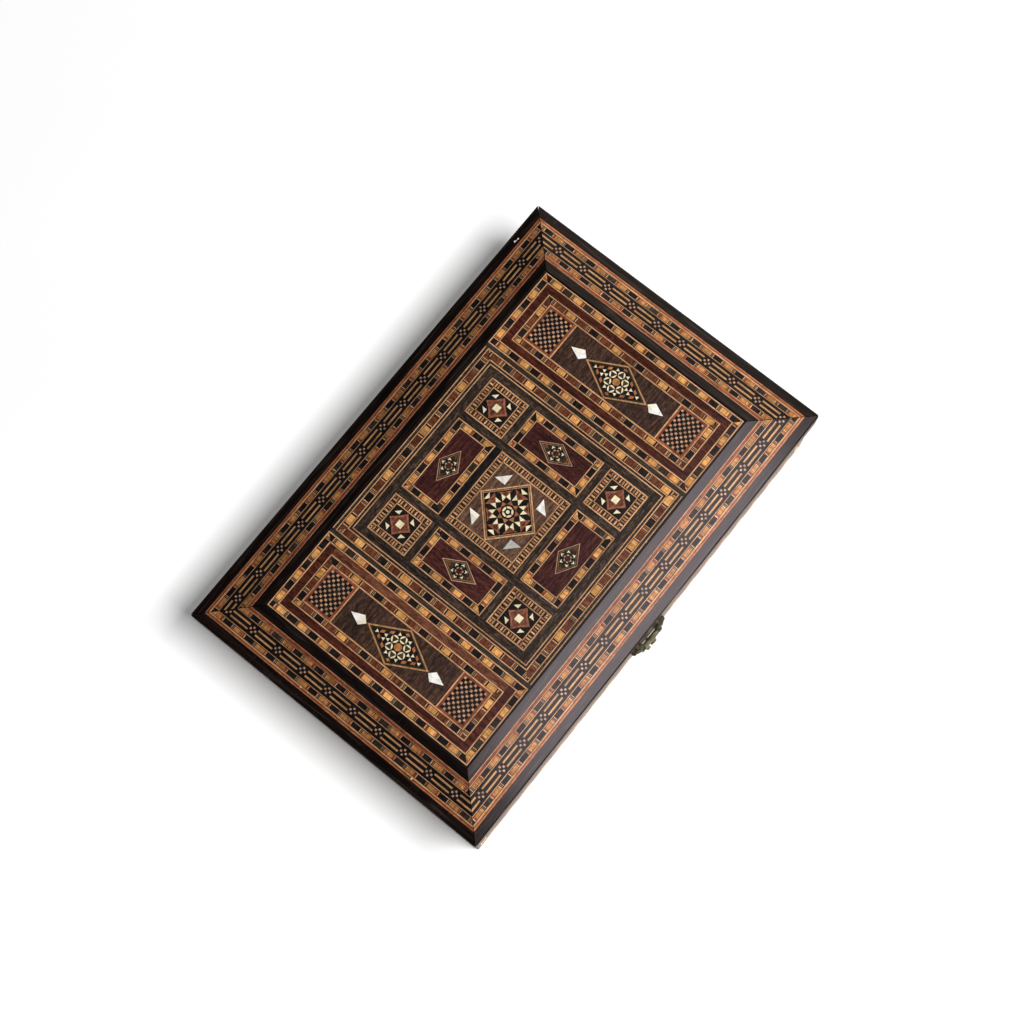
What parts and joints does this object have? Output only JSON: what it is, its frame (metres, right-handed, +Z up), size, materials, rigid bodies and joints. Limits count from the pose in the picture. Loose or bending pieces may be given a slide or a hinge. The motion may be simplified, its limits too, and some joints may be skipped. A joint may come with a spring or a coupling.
{
  "type": "marquetry box",
  "caption": "Small wooden marquetry box with mother-of-pearl inlay, a raised hinged lid, dark mouldings and an aged brass clasp at the front",
  "frame": {"origin": "middle of the underside, on the surface that the box stands on", "axes": "+X along the length, +Z up, and the front with the clasp faces -Y"},
  "size_m": [0.28, 0.1899, 0.065],
  "materials": {
    "carcass": "satin",
    "dark_moulding": "satin",
    "marquetry": "satin",
    "mother_of_pearl": "polished shell",
    "brass": "aged"
  },
  "bodies": {
    "box": {"wall_front": "carcass", "wall_right": "carcass", "wall_back": "carcass", "wall_left": "carcass", "floor_board": "carcass", "hinge_left_body_leaf": "brass", "hinge_left_pin": "brass", "hinge_right_body_leaf": "brass", "hinge_right_pin": "brass", "clasp_keeper": "brass"},
    "lid": {"lid_rim_front": "carcass", "lid_rail_front": "dark_moulding", "lid_band_front": "marquetry", "lid_moulding_front": "dark_moulding", "lid_rim_right": "carcass", "lid_rail_right": "dark_moulding", "lid_band_right": "marquetry", "lid_moulding_right": "dark_moulding", "lid_rim_back": "carcass", "lid_rail_back": "dark_moulding", "lid_band_back": "marquetry", "lid_moulding_back": "dark_moulding", "lid_rim_left": "carcass", "lid_rail_left": "dark_moulding", "lid_band_left": "marquetry", "lid_moulding_left": "dark_moulding", "lid_top_board": "carcass", "lid_panel": "marquetry", "pearl_kite_left_front": "mother_of_pearl", "pearl_triangle_left_front": "mother_of_pearl", "pearl_kite_left_back": "mother_of_pearl", "pearl_triangle_left_back": "mother_of_pearl", "pearl_kite_right_front": "mother_of_pearl", "pearl_triangle_right_front": "mother_of_pearl", "pearl_kite_right_back": "mother_of_pearl", "pearl_triangle_right_back": "mother_of_pearl", "hinge_left_lid_leaf": "brass", "hinge_right_lid_leaf": "brass", "clasp_plate": "brass", "clasp_pin": "brass"},
    "clasp_tongue": {"clasp_tongue": "brass"}
  },
  "joints": [
    {"name": "lid_hinge", "type": "hinge", "parent": "box", "child": "lid", "pos_m": [0, 0.0909, 0.0482], "axis": [-1, 0, 0], "range_deg": [0, 105]},
    {"name": "clasp_hinge", "type": "hinge", "parent": "lid", "child": "clasp_tongue", "pos_m": [-0.0036, -0.09505, 0.0502], "axis": [-1, 0, 0], "range_deg": [0, 120]}
  ]
}
